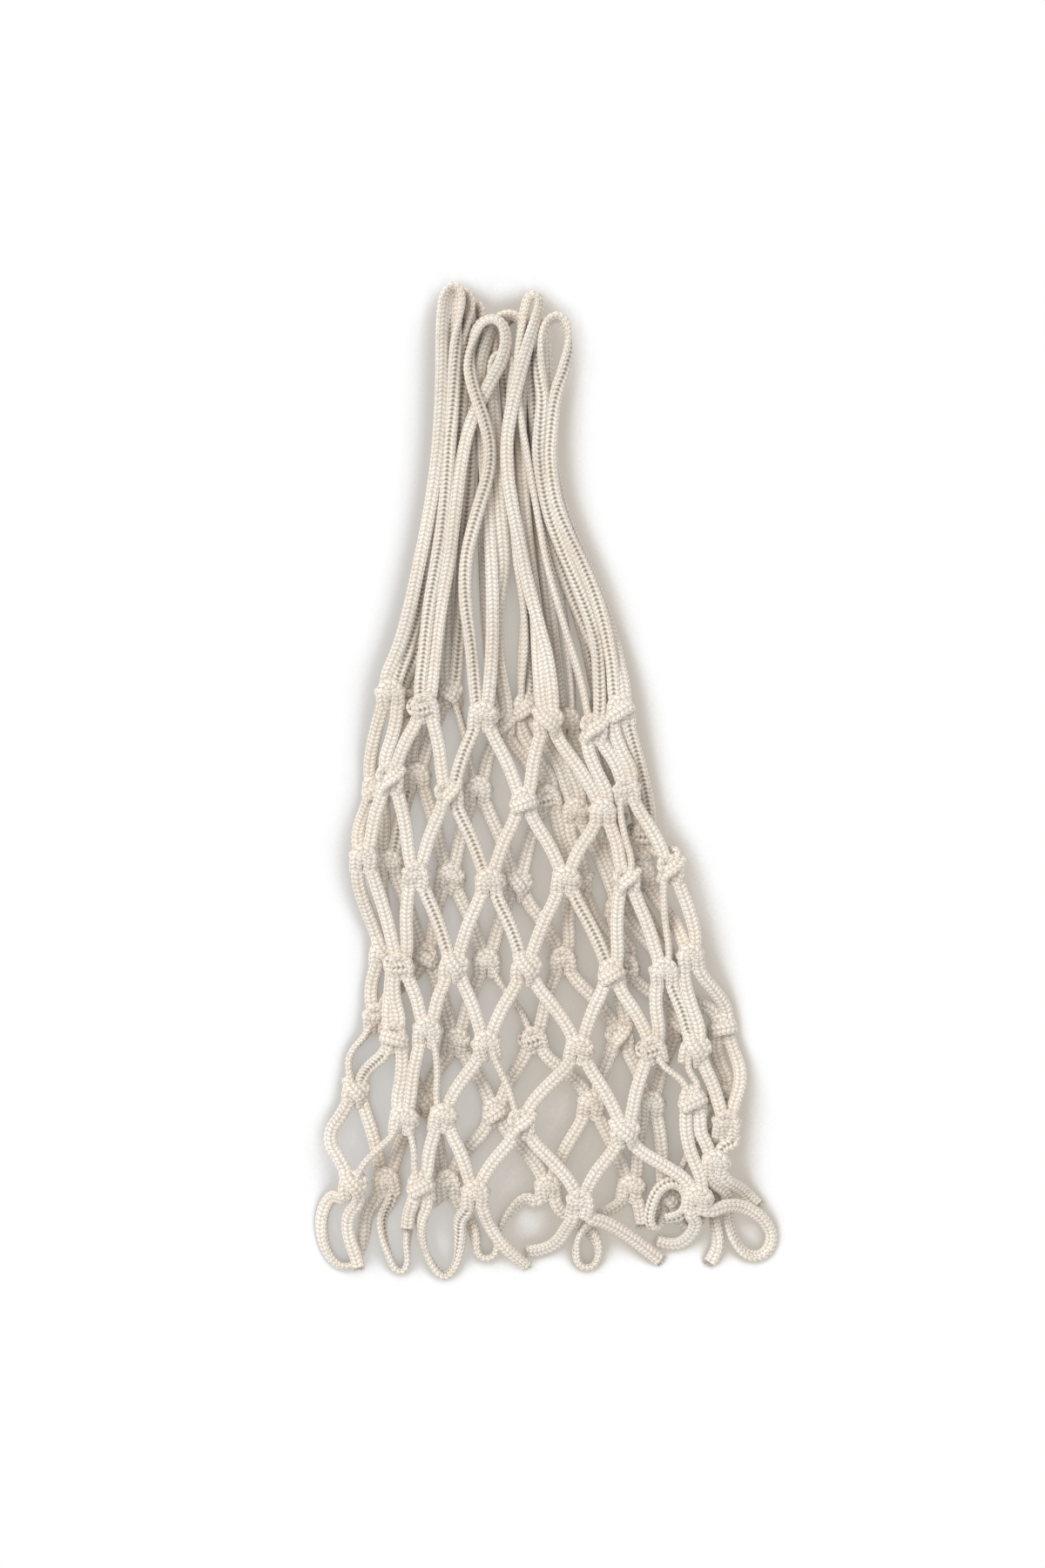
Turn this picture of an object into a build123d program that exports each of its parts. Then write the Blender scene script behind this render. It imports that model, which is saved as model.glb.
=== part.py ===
from build123d import *
import math
import os

# Twelve-hook hoop net, knotted from flat braided cord and laid out flat on a surface.
# Its hanging loops are gathered towards +Y and its cut bottom end lies towards -Y. The net
# is a tube, so pressed flat it has a front layer and a back layer of mesh, joined round the
# left and right edges. Millimetres, +Z up. The origin is on the surface it lies on, under
# the middle of its box.
#
# From the top: 12 hanging loops, a row of 12 knots, then six rounds of 24 mesh legs, each
# with its row of 12 knots, then the bottom fringe of loops and cut tails.

# ---- Driving dimensions ----
cord_d = 4.8          # round cord of the same section as the 6 x 3.5 mm flat braid
lie_gap = 0.3         # clearance between cords and knots that lie on or beside each other
hang_gap = 0.8        # clearance between a knot and the end of a cord that hangs from it
knot_across = 13.5    # a knot along its wraps
ring_r = 3.4          # centre line of the cord's turn inside a knot
wrap_lift = 2.35      # each wrap's centre line, in front of or behind the middle of its knot
wrap_tilt = 18.0      # slant of the front wrap; the back wrap slants the other way
exit_side = 3.2       # a cord leaves a knot this far beside its middle
entry_side = 2.8      # a cord enters a knot this far beside its middle
entry_up = 4.0        # a cord that ends in a knot stops this far above its middle
arc_share = 0.45      # of the shorter run, taken by each arc of a cord

# ---- Heights ----
layer_pitch = cord_d + lie_gap
low = cord_d / 2                       # a cord on the surface
mid = low + layer_pitch                # a cord on top of one other
top = mid + layer_pitch                # a cord on top of two others
knot_thick = 2 * wrap_lift + cord_d
back_z = knot_thick / 2                # the back layer's knots lie on the surface
front_z = back_z + knot_thick + lie_gap
knot_reach = knot_across / 2 + hang_gap
layer_z = {"front": front_z, "back": back_z}

# ---- Knots: (x, y) of each row, from left to right ----
knots = {
    1: {"front": [(-72, 40), (-56, 34), (-30, 30), (0, 27), (21, 24), (33, 32)],
        "back": [(-64, 36), (-45, 40), (-21, 25), (-10, 33), (9, 27), (25, 36)]},
    2: {"front": [(-72, 1), (-45, -6), (-11, -10), (25, -14), (36, -4), (44.5, -25)],
        "back": [(-79, -4), (-60, 2), (-32, -4), (0, -8), (13, -14), (30, -21)]},
    3: {"front": [(-84, -35), (-60, -43), (-27, -46), (8, -45), (36, -45), (56, -40)],
        "back": [(-73, -38), (-45, -44), (-14, -47), (14, -47), (33, -57), (43, -43)]},
    4: {"front": [(-67, -84), (-43, -84), (-10, -85), (29, -88), (53, -87), (65, -80)],
        "back": [(-75, -78), (-56, -81), (-28, -83), (7, -82), (36, -85), (58, -92)]},
    5: {"front": [(-70, -117), (-55, -114), (-28, -120), (14, -122), (48, -122), (67, -122)],
        "back": [(-78, -108), (-42, -119), (-6, -118), (33, -117), (61, -112), (80, -113)]},
    6: {"front": [(-66, -154), (-48, -153), (-12, -156), (35, -160), (66, -146), (81.5, -156)],
        "back": [(-88, -142), (-57, -146), (-24, -152), (20, -148), (47, -148), (80, -145)]},
    7: {"front": [(-89, -184), (-58, -185), (-33, -188), (15, -192), (68, -190), (76, -174)],
        "back": [(-74, -183), (-46, -184), (0, -186), (38, -186), (55.5, -191), (73, -175)]},
}

# ---- Hanging loops: the knots they tie together, and each one's route between them ----
# A point is (x, y) at the loop's own height, or (x, y, z).
hanging_loops = [
    ("front", 1, -1, "front", 2, -1, top, [
        (-69.5, 60.5), (-65, 79), (-61, 99.4), (-57, 119), (-53, 143), (-50.4, 167),
        (-50, 185), (-50.2, 200), (-49.9, 212), (-49.3, 221.5), (-45.8, 226), (-40.8, 226),
        (-37.4, 222), (-38.2, 213), (-40.4, 203), (-42.6, 191), (-44.2, 172), (-46, 147),
        (-47.5, 122), (-51, 99), (-54.6, 78), (-56.2, 59)]),
    ("front", 2, 1, "front", 3, -1, top, [
        (-51, 61), (-48.3, 83), (-44.8, 103), (-42, 127), (-39, 147), (-37, 167), (-36.2, 184),
        (-36.2, 197), (-35, 204.8), (-30.6, 209.6), (-25.2, 210.4), (-20.8, 206.8),
        (-20.8, 199), (-22.4, 188), (-23.8, 173), (-24.8, 150), (-26.8, 124), (-30, 100.8),
        (-32, 78.8), (-32.8, 56.8)]),
    ("front", 3, 1, "front", 4, -1, mid, [
        (-25.6, 56.8, 12.4), (-25.2, 78.8, 12.4), (-25.6, 98.8, 9.6), (-26.4, 112, 7.6),
        (-28, 130.8), (-29.2, 150.8), (-30.8, 170.8), (-31.2, 184), (-30, 195), (-27, 203.5),
        (-24.5, 210), (-20, 213.6), (-14.6, 213), (-11, 208.5), (-10.8, 197), (-12, 182.8),
        (-12.8, 166.8), (-11.9, 142.8), (-10.4, 118.8), (-8, 98.8), (-5.2, 76, 7.8),
        (-4.4, 54.8, 10.6)]),
    ("front", 4, 1, "front", 5, -1, top, [
        (2, 54.8), (-0.8, 78.8), (-5.2, 98.8), (-10, 118.8), (-14.4, 142.8), (-17.2, 166.8),
        (-17.6, 184), (-15.4, 198), (-13.8, 206), (-12.9, 212.8), (-12.6, 217.9), (-9.6, 221),
        (-5.5, 221), (-2.6, 217.9), (-4, 211.5), (-6.9, 203), (-9.8, 194), (-11.8, 183),
        (-12, 168), (-8.8, 146.8), (-4.8, 122.8), (0, 98.8), (5.2, 78.8), (10.4, 60.8),
        (15.6, 44)]),
    ("front", 5, 1, "front", 6, -1, top, [
        (23.6, 46.8), (21.2, 64.8), (15.6, 82.8), (8.8, 102.8), (2.8, 122.8), (-3.6, 146.8),
        (-3, 166.8), (-2.2, 182), (-1.2, 194), (-1, 201), (-0.2, 206.8), (2.6, 209.8),
        (6.3, 209.8), (9, 206.8), (8.9, 200.5), (7.4, 191), (5, 179), (2.4, 165),
        (2, 146.8), (4.4, 128), (8.8, 114), (14, 100), (20, 86), (24.4, 68.8), (28, 52.8)]),
    ("front", 6, 1, "back", 6, 1, mid, [
        (33.6, 54.8, 11), (30, 68, 8.8), (24.4, 82), (18, 98), (10, 112), (4.8, 128),
        (2.4, 147), (1.6, 166.8), (2, 182.8), (3, 196), (3.5, 204), (3.5, 209.6),
        (0.8, 212.4), (-3, 212.4), (-5.8, 209.6), (-6, 203), (-5.6, 193), (-5.6, 180),
        (-5.2, 165), (-3.6, 146.8), (-1, 128), (2, 112), (9, 97), (14, 82.8),
        (21.2, 64.8), (25.6, 52, 6.2)]),
    ("back", 5, 1, "back", 6, -1, low, [
        (10.4, 52.8, 3), (7.6, 74.8), (4.4, 98.8), (0.6, 118.8), (-2.4, 142.8),
        (-3.2, 166.8), (-3.6, 182), (-3.8, 195), (-3.6, 205.4), (-0.4, 208.8), (4, 208.8),
        (7.1, 205.4), (6.9, 197), (5.2, 183), (2.6, 166.8), (3, 142.8), (6.4, 118.8),
        (10.8, 98.8), (15.6, 78.8), (20, 58.8, 2.5)]),
    ("back", 4, 1, "back", 5, -1, low, [
        (-7.2, 54.8, 3), (-9.2, 74.8), (-12, 98.8), (-14, 118.8), (-16.2, 142.8),
        (-18, 166.8), (-19.6, 184), (-19.8, 197), (-19.7, 204.5), (-19.4, 209.7),
        (-16.4, 212.8), (-12.2, 212.8), (-9.2, 209.7), (-9, 203.5), (-9.7, 195),
        (-9.5, 184), (-8.8, 166.8), (-8, 142.8), (-5.2, 118.8), (-2, 98.8), (0.8, 78.8),
        (3.6, 58.8, 3)]),
    ("back", 3, 1, "back", 4, -1, mid, [
        (-21, 46.8), (-23.4, 62.8), (-23.2, 78.8), (-20, 98.8), (-21.4, 118.8),
        (-22.4, 142.8), (-24.2, 163), (-25.6, 176), (-25.6, 185), (-25.2, 192), (-22.8, 194.9),
        (-19.2, 194.9), (-16.7, 192), (-17, 184), (-17.8, 174), (-18, 161), (-17.4, 142.8),
        (-16, 118.8), (-13.6, 98.8), (-10.8, 78.8), (-11, 60.8)]),
    ("back", 2, 1, "back", 3, -1, low, [
        (-41.2, 60.8, 3.2), (-40, 78.8), (-39.4, 98.8), (-38.4, 118.8), (-37.8, 142.8),
        (-36.8, 166.8), (-35.2, 186), (-35.4, 199), (-35.3, 206.8), (-32.2, 210.5),
        (-28, 210.5), (-25, 207.2), (-24.9, 199), (-25.8, 187), (-28.2, 168), (-29.2, 142.8),
        (-29.2, 118.8), (-28.8, 98.8), (-28, 78.8), (-26.6, 58.8), (-25.6, 44, 3)]),
    ("back", 1, 1, "back", 2, -1, low, [
        (-59, 53, 2.5), (-57.8, 66), (-56.6, 79.2), (-54.2, 98.8), (-52.2, 118.8), (-50.4, 142.8),
        (-49.2, 166.8), (-49.2, 186.8), (-49.6, 200), (-50, 209), (-49.8, 217),
        (-46.9, 220.5), (-42.6, 220.5), (-39.8, 217), (-40.2, 210), (-41.2, 201),
        (-42.2, 187), (-43.2, 167), (-44.2, 142.8), (-44.8, 118.8), (-45.6, 98.8),
        (-46.6, 78.8), (-47.2, 60.8, 3.2)]),
    ("front", 1, 1, "back", 1, -1, mid, [
        (-64, 60.8, 9.4), (-59.2, 78.8, 7.6), (-56.2, 98.8), (-52.8, 118.8), (-49.6, 142.8),
        (-47.2, 166.8), (-45.8, 188), (-45, 203), (-44.8, 212), (-44.3, 218.6), (-41, 222),
        (-35.8, 222), (-32.5, 218.5), (-32.3, 210), (-33.6, 201), (-36.4, 191.5),
        (-38.8, 180), (-40, 166.8), (-41, 142.8), (-43.6, 118.8), (-48, 98.8),
        (-52.8, 78.8), (-58.6, 61), (-64, 50, 7)]),
]

# ---- Bottom fringe: loops between two knots of the last row, and tails that end cut ----
bottom_loops = [
    ("front", 1, -1, "back", 1, -1, low, [
        (-98.8, -196), (-102.8, -204.4), (-102.8, -213), (-98.8, -219.6),
        (-91.8, -221.2), (-86, -217.2), (-83.6, -208.4), (-83.2, -198)]),
    ("back", 1, 1, "back", 2, -1, low, [
        (-75.6, -199.2), (-76.3, -209.5), (-75.6, -217), (-73.2, -221.6), (-68.6, -222.9),
        (-65.1, -219.8), (-64.4, -211.4), (-62, -201.4), (-56.4, -194)]),
    ("front", 2, 1, "front", 3, -1, low, [
        (-57.2, -199.2, 9), (-57.6, -209.2, 5), (-55.6, -218.8, 3), (-51, -226),
        (-45.2, -226), (-41.4, -221.4), (-40, -211, 4), (-40.3, -200, 8)]),
    ("back", 2, 1, "back", 3, -1, low, [
        (-38.8, -196.8), (-34.8, -202.6), (-33, -209), (-32.6, -215.6), (-29.9, -218.6),
        (-26.1, -218.6), (-23.4, -215.7), (-23.2, -209.5), (-21.6, -203.4), (-17, -196.8),
        (-10.4, -190.4)]),
    ("back", 3, 1, "back", 4, -1, low, [
        (7.2, -198, 2.6), (13.6, -202.4), (20, -206.4), (23.4, -212.6), (23.2, -219.2),
        (20.2, -222.9), (15.8, -222.9), (13, -219.2), (13.2, -212.5, 3.2),
        (15.2, -206.8, 6), (19.2, -202, 7.6), (24.4, -197.6, 7)]),
    ("front", 5, 1, "front", 6, -1, low, [
        (82.4, -192.8, 12.3), (90.8, -194.8, 7.8), (98.8, -200, 6), (103.5, -208.4),
        (100.4, -216.4), (93.6, -218.4), (87.2, -213.6), (83.6, -205.2),
        (82.4, -196, 3.5), (82.2, -187, 8)]),
    ("back", 5, 1, "back", 6, -1, low, [
        (60.3, -201.6, 3), (63.4, -204.8), (67.8, -204.8), (70.9, -201.6), (71.2, -195),
        (70.6, -187.5, 3.2)]),
]
cut_tails = [
    ("front", 1, 1, mid, [(-91.5, -198, 9.5), (-91.2, -208.4), (-87.6, -217.2), (-86.4, -222.4)]),
    ("front", 2, -1, mid, [(-63.6, -197.2, 9), (-64.4, -204.4)]),
    ("front", 3, 1, mid, [(-27.2, -202, 9.5), (-22.4, -210, 8), (-16.4, -216.4), (-9.6, -222, 4.5)]),
    ("front", 4, -1, low, [(8.4, -204.4, 9), (4.4, -211.2, 5), (-3, -215.2, 3), (-9.4, -215.6)]),
    ("front", 4, 1, low, [(25.2, -200.4, 12.4), (34.8, -206, 9), (43.6, -212.8, 5),
                          (51.6, -219.6, 2.6)]),
    ("back", 4, 1, low, [(42.5, -197.6, 3), (43.4, -203)]),
    ("back", 5, -1, low, [(47.8, -202, 6), (43.4, -202.8, 7.8), (41, -198.6, 9.6),
                          (42.4, -192.4, 11.3), (45.4, -187, 12.4), (50, -183.8, 12.6),
                          (55, -184.6, 12.6), (58.4, -188.6, 12.6), (58, -194.6, 12.6),
                          (54, -198.4, 12.2), (49, -199.2, 11.8)]),
    ("front", 5, -1, low, [(68.4, -201.2, 9.8), (64.4, -209.4, 6.2), (57.2, -213, 3), (50.4, -210.6)]),
    ("front", 6, 1, low, [(88, -186, 7), (91.8, -190, 2.8), (96, -194)]),
    ("back", 6, 1, low, [(76.6, -190.5), (76.4, -200), (78, -207.5), (78.2, -215), (74.4, -220.6)]),
]

# A front knot that lies in the back layer, under a leg that crosses it: (row, layer, place).
tucked = {(2, "front", 6)}

# A mesh leg's bow at its middle, where it would touch a neighbour if it lay straight:
# (row above, layer above, place above, layer below, place below) -> mm towards +X and +Z.
leg_bow = {
    (1, "back", 4, "back", 5): (3, 0),
    (2, "back", 4, "back", 4): (-1, 0),
    (2, "back", 6, "back", 5): (-1.5, 0),
    (2, "front", 6, "front", 6): (1.5, 0),
    (2, "front", 6, "back", 6): (0, 2),
    (3, "back", 4, "back", 5): (-3, 0),
    (3, "back", 6, "back", 6): (0.7, 0),
    (3, "back", 6, "front", 6): (2, -3),
    (4, "back", 1, "front", 1): (0, 1.2),
    (5, "back", 6, "front", 6): (5, 0),
    (6, "front", 5, "front", 5): (-2.5, 0),
    (6, "front", 5, "front", 6): (-2, 0),
    (6, "front", 6, "front", 6): (2, 0),
    (6, "front", 6, "back", 6): (0.8, -2.5),
    (6, "back", 6, "back", 5): (-2, 0),
}


def unit(a, b):
    """The direction from a to b in the plane of the surface."""
    size = math.hypot(b[0] - a[0], b[1] - a[1])
    return (b[0] - a[0]) / size, (b[1] - a[1]) / size


def knot_z(row, layer, place):
    """The height of a knot's middle."""
    return back_z if (row, layer, place) in tucked else layer_z[layer]


def leave(row, layer, place, side, towards):
    """Where a cord that is free of a knot starts below it, heading for the next point."""
    x, y = knots[row][layer][place - 1]
    start = (x + side * exit_side, y)
    dx, dy = unit(start, towards)
    t = knot_reach - side * exit_side * dx
    return start[0] + t * dx, start[1] + t * dy, knot_z(row, layer, place)


def enter(row, layer, place, side):
    """Where a cord that is held by a knot ends, inside the upper half of its ring."""
    x, y = knots[row][layer][place - 1]
    return x + side * entry_side, y + entry_up, knot_z(row, layer, place)


def at_height(points, z):
    """A route's points, each at its own height or else at z."""
    return [(p[0], p[1], p[2] if len(p) > 2 else z) for p in points]


def cord_path(points):
    """Straight runs joined by tangent arcs, each as large as its two runs allow."""
    pts = [Vector(*p) for p in points]
    if len(pts) == 2:
        return Line(*pts), None
    radii = []
    for a, b, c in zip(pts, pts[1:], pts[2:]):
        turn = math.radians((b - a).get_angle(c - b))
        radii.append(arc_share * min((b - a).length, (c - b).length) / math.tan(turn / 2))
    return FilletPolyline(*pts, radius=radii), min(radii)


def cord(points):
    """A tube of cord along a route."""
    path, bend = cord_path(points)
    tube = sweep(Plane(origin=path @ 0, z_dir=path % 0) * Circle(cord_d / 2), path=path)
    return tube, path, bend


def knot():
    """A ring of cord clasped by one slanting wrap in front and one behind."""
    reach = (knot_across - cord_d) / 2
    wrap = Cylinder(cord_d / 2, 2 * reach, rotation=(0, 90, 0))
    wrap += Pos(-reach, 0, 0) * Sphere(cord_d / 2) + Pos(reach, 0, 0) * Sphere(cord_d / 2)
    ring = Torus(ring_r, cord_d / 2)
    front = Pos(0, 0, wrap_lift) * Rot(0, 0, wrap_tilt) * wrap
    back = Pos(0, 0, -wrap_lift) * Rot(0, 0, -wrap_tilt) * wrap
    return ring + front + back


def feet(row, layer, place):
    """The two knots below that a knot's legs run to."""
    last = len(knots[row][layer])
    if row % 2:
        if layer == "front":
            return [("front", place - 1) if place > 1 else ("back", 1), ("front", place)]
        return [("back", place), ("back", place + 1) if place < last else ("front", last)]
    if layer == "front":
        return [("front", place), ("front", place + 1) if place < last else ("back", last)]
    return [("back", place - 1) if place > 1 else ("front", 1), ("back", place)]


def mesh_legs(row):
    """Every leg of the round under a row: (layer and place above, layer and place below)."""
    legs = []
    for layer in ("front", "back"):
        for place in range(1, len(knots[row][layer]) + 1):
            for below in feet(row, layer, place):
                legs.append(((layer, place), below))
    return legs


def side_of(leg, legs, end, row):
    """-1 or +1: the leg's side of the knot at its end, by where its other end lies."""
    pair = [other for other in legs if other[end] == leg[end]]
    far_row = row + 1 if end == 0 else row
    xs = [knots[far_row][other[1 - end][0]][other[1 - end][1] - 1][0] for other in pair]
    return -1 if xs[pair.index(leg)] == min(xs) else 1


def leg_route(row, leg, legs):
    """A leg's points from under the upper knot to inside the lower one."""
    above, below = leg
    end = enter(row + 1, *below, side_of(leg, legs, 1, row))
    bow = leg_bow.get((row, *above, *below))
    side = side_of(leg, legs, 0, row)
    if bow is None:
        return [leave(row, *above, side, end), end]
    straight = leave(row, *above, side, end)
    middle = tuple((a + b) / 2 for a, b in zip(straight, end))
    middle = (middle[0] + bow[0], middle[1], middle[2] + bow[1])
    return [leave(row, *above, side, middle), middle, end]


# ---- Build: every node is a list of solids; routes keep each cord's centre line ----
nodes = {}
routes = {}


def add_cord(name, points):
    """Add one cord to a node and print its length, tightest bend and volume."""
    tube, path, bend = cord(points)
    nodes.setdefault(name, []).append(tube)
    routes.setdefault(name, []).append(path)
    if bend is not None:
        section = math.pi * cord_d ** 2 / 4
        print(f"{name}: {path.length:.1f} long, tightest bend {bend:.1f}, "
              f"volume {tube.volume / (section * path.length):.4f} of section x length")


master = knot()
for row in knots:
    for layer, places in knots[row].items():
        nodes[f"knots_row_{row}_{layer}"] = [
            Pos(x, y, knot_z(row, layer, place)) * master
            for place, (x, y) in enumerate(places, 1)]

for row in list(knots)[:-1]:
    legs = mesh_legs(row)
    for leg in legs:
        add_cord(f"mesh_legs_{row}_{leg[0][0]}", leg_route(row, leg, legs))

first, last = min(knots), max(knots)
for number, (layer_a, a, side_a, layer_b, b, side_b, z, route) in enumerate(hanging_loops, 1):
    add_cord(f"hanging_loop_{number:02d}",
             [enter(first, layer_a, a, side_a), *at_height(route, z),
              enter(first, layer_b, b, side_b)])
for number, (layer_a, a, side_a, layer_b, b, side_b, z, route) in enumerate(bottom_loops, 1):
    add_cord(f"bottom_loop_{number}",
             [leave(last, layer_a, a, side_a, route[0]), *at_height(route, z),
              leave(last, layer_b, b, side_b, route[-1])])
for number, (layer, place, side, z, route) in enumerate(cut_tails, 1):
    add_cord(f"cut_tail_{number:02d}",
             [leave(last, layer, place, side, route[0]), *at_height(route, z)])

os.makedirs("parts", exist_ok=True)
for name, solids in nodes.items():
    export_step(Compound(children=solids), f"parts/{name}.step")
print(len(nodes), "nodes,", sum(len(s) for s in nodes.values()), "solids")
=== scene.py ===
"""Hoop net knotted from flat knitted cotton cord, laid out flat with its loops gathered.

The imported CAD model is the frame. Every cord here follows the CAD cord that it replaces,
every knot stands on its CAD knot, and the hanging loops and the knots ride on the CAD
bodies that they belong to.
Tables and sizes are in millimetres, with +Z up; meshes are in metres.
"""

import logging
import math
import random
from collections.abc import Iterable, Sequence
from dataclasses import dataclass, field
from enum import Enum

import bpy
import numpy as np
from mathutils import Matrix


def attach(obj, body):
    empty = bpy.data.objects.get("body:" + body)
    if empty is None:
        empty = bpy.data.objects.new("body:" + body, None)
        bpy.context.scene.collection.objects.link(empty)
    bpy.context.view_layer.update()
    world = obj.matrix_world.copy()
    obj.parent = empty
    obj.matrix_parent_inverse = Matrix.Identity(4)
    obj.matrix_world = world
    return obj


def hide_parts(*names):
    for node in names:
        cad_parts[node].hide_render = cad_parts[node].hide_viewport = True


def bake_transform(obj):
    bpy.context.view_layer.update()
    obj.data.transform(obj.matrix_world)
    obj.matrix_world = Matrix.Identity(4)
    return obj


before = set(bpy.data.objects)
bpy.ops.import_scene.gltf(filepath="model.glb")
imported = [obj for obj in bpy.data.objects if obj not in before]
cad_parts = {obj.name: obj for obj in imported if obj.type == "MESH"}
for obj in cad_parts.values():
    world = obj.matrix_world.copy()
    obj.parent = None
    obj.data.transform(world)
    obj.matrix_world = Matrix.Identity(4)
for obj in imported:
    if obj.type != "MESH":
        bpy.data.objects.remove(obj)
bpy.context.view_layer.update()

LOG = logging.getLogger("hoop_net")
MM = 0.001

Point = tuple[float, ...]
Route = list[Point]
Place = tuple[str, int]
Rolls = tuple[tuple[float, float], ...]
LoopRow = tuple[str, int, int, str, int, int, float, Route]
TailRow = tuple[str, int, int, float, Route]

# ---- Heights of the layers that the cords and knots lie in ----
LOW, MIDDLE, TOP = 2.4, 7.5, 12.6
KNOT_Z = {"front": 14.55, "back": 4.75}

# ---- Knots: (x, y) of each row, from left to right ----
KNOTS: dict[int, dict[str, Route]] = {
    1: {"front": [(-72, 40), (-56, 34), (-30, 30), (0, 27), (21, 24), (33, 32)],
        "back": [(-64, 36), (-45, 40), (-21, 25), (-10, 33), (9, 27), (25, 36)]},
    2: {"front": [(-72, 1), (-45, -6), (-11, -10), (25, -14), (36, -4), (44.5, -25)],
        "back": [(-79, -4), (-60, 2), (-32, -4), (0, -8), (13, -14), (30, -21)]},
    3: {"front": [(-84, -35), (-60, -43), (-27, -46), (8, -45), (36, -45), (56, -40)],
        "back": [(-73, -38), (-45, -44), (-14, -47), (14, -47), (33, -57), (43, -43)]},
    4: {"front": [(-67, -84), (-43, -84), (-10, -85), (29, -88), (53, -87), (65, -80)],
        "back": [(-75, -78), (-56, -81), (-28, -83), (7, -82), (36, -85), (58, -92)]},
    5: {"front": [(-70, -117), (-55, -114), (-28, -120), (14, -122), (48, -122), (67, -122)],
        "back": [(-78, -108), (-42, -119), (-6, -118), (33, -117), (61, -112), (80, -113)]},
    6: {"front": [(-66, -154), (-48, -153), (-12, -156), (35, -160), (66, -146), (81.5, -156)],
        "back": [(-88, -142), (-57, -146), (-24, -152), (20, -148), (47, -148), (80, -145)]},
    7: {"front": [(-89, -184), (-58, -185), (-33, -188), (15, -192), (68, -190), (76, -174)],
        "back": [(-74, -183), (-46, -184), (0, -186), (38, -186), (55.5, -191), (73, -175)]},
}

# A front knot that lies in the back layer: (row, layer, place).
TUCKED = {(2, "front", 6)}
LAST_ROW = max(KNOTS)

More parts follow.
